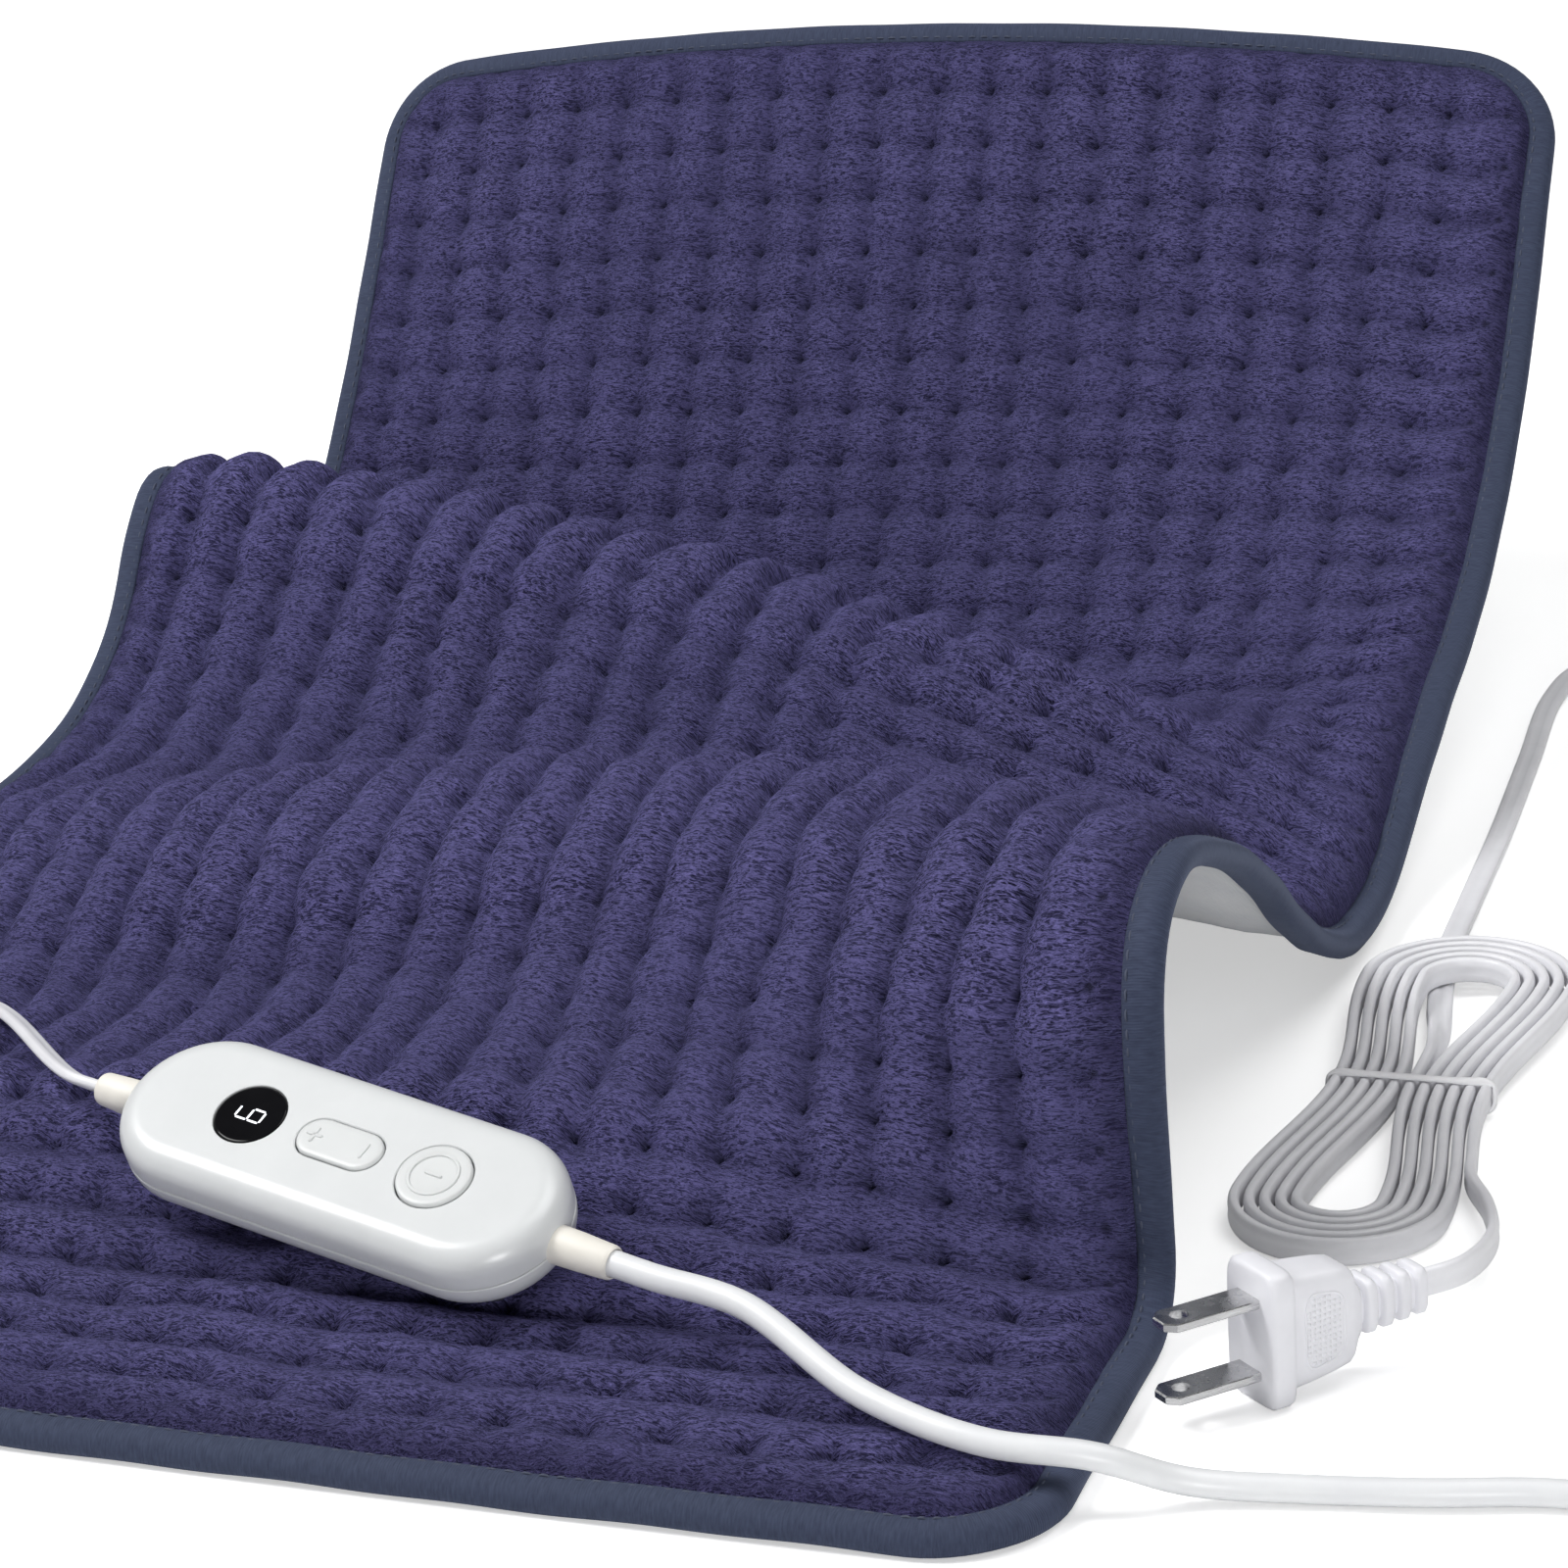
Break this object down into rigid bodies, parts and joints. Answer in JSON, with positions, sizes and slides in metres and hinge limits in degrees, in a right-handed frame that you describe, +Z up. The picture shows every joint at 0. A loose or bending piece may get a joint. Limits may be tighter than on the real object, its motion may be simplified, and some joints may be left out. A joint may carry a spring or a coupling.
{
  "type": "heating pad with controller",
  "caption": "Quilted plush heating pad lying in soft folds, with a pill-shaped key controller on it, a round pad lead and a hanked flat mains cord with a two-blade plug.",
  "frame": {"origin": "on the floor under the middle of the pad and controller, cords left out", "axes": "+X to the right across the pad's width, +Y from the near edge to the raised far edge, +Z up"},
  "size_m": [0.4948, 0.6095, 0.139],
  "materials": {
    "plush": "short plush pile, quilted",
    "backing_cloth": "smooth woven backing",
    "carrier_cloth": "non-woven felt",
    "binding_tape": "ribbed woven tape",
    "heater_insulation": "silicone insulation",
    "splice_plastic": "moulded",
    "cutout_sleeve": "heat-shrink sleeve",
    "sleeve_rubber": "soft moulded",
    "housing_plastic": "satin white",
    "board_laminate": "solder mask",
    "black_plastic": "moulded",
    "fuse_glass": "clear tube",
    "capacitor_box": "moulded box",
    "capacitor_can": "sleeved can",
    "window_black": "high gloss",
    "pin_steel": "plated",
    "lead_jacket": "smooth round jacket",
    "cord_jacket": "flat twin jacket",
    "tie_plastic": "smooth strip",
    "plug_plastic": "satin moulded",
    "blade_metal": "plated blade",
    "key_plastic": "satin white",
    "stem_plastic": "moulded"
  },
  "bodies": {
    "pad": {"bottom_cover": "backing_cloth", "heater_carrier": "carrier_cloth", "top_cover": "plush", "edge_binding": "binding_tape", "heater_wire": "heater_insulation", "lead_splice": "splice_plastic", "thermal_cutout_1": "cutout_sleeve", "thermal_cutout_2": "cutout_sleeve", "pad_lead_gland": "sleeve_rubber", "lower_shell": "housing_plastic", "upper_shell": "housing_plastic", "housing_screw_1": "pin_steel", "housing_screw_2": "pin_steel", "housing_screw_3": "pin_steel", "housing_screw_4": "pin_steel", "circuit_board": "board_laminate", "display_module": "black_plastic", "microcontroller": "black_plastic", "fuse": "fuse_glass", "film_capacitor": "capacitor_box", "triac": "black_plastic", "electrolytic_capacitor": "capacitor_can", "plus_switch": "black_plastic", "minus_switch": "black_plastic", "power_switch": "black_plastic", "display_window": "window_black", "rocker_pin": "pin_steel", "lead_sleeve": "sleeve_rubber", "mains_sleeve": "sleeve_rubber", "pad_lead": "lead_jacket", "mains_cord": "cord_jacket", "mains_cord_hank": "cord_jacket", "hank_tie": "tie_plastic", "plug_cord": "cord_jacket", "plug_body": "plug_plastic", "plug_blade_1": "blade_metal", "plug_blade_2": "blade_metal"},
    "power_key": {"power_button": "key_plastic"},
    "power_stem": {"power_switch_stem": "stem_plastic"},
    "rocker_key": {"level_rocker": "key_plastic"},
    "plus_stem": {"plus_switch_stem": "stem_plastic"},
    "minus_stem": {"minus_switch_stem": "stem_plastic"}
  },
  "joints": [
    {"name": "power_press", "type": "slide", "parent": "pad", "child": "power_key", "axis": [0, 0.4226, -0.9063], "range_m": [0, 0.0006], "stiffness_N_per_m": 300, "springref_m": -0.0004},
    {"name": "power_stem_press", "type": "slide", "parent": "pad", "child": "power_stem", "axis": [0, 0.4226, -0.9063], "range_m": [0, 0.0006]},
    {"name": "level_rock", "type": "hinge", "parent": "pad", "child": "rocker_key", "pos_m": [0.02948, -0.18177, 0.02797], "axis": [0.2334, 0.8813, 0.4109], "range_deg": [-3, 3], "stiffness_Nm_per_rad": 0.02},
    {"name": "plus_stem_press", "type": "slide", "parent": "pad", "child": "plus_stem", "axis": [0, 0.4226, -0.9063], "range_m": [-0.000314, 0.000314]},
    {"name": "minus_stem_press", "type": "slide", "parent": "pad", "child": "minus_stem", "axis": [0, 0.4226, -0.9063], "range_m": [-0.000314, 0.000314]}
  ],
  "couplings": [
    {"joint": "power_stem_press", "follows": "power_press", "ratio": 1},
    {"joint": "level_rock", "follows": "plus_stem_press", "rad_per_m": -166.67},
    {"joint": "minus_stem_press", "follows": "plus_stem_press", "ratio": -1}
  ]
}
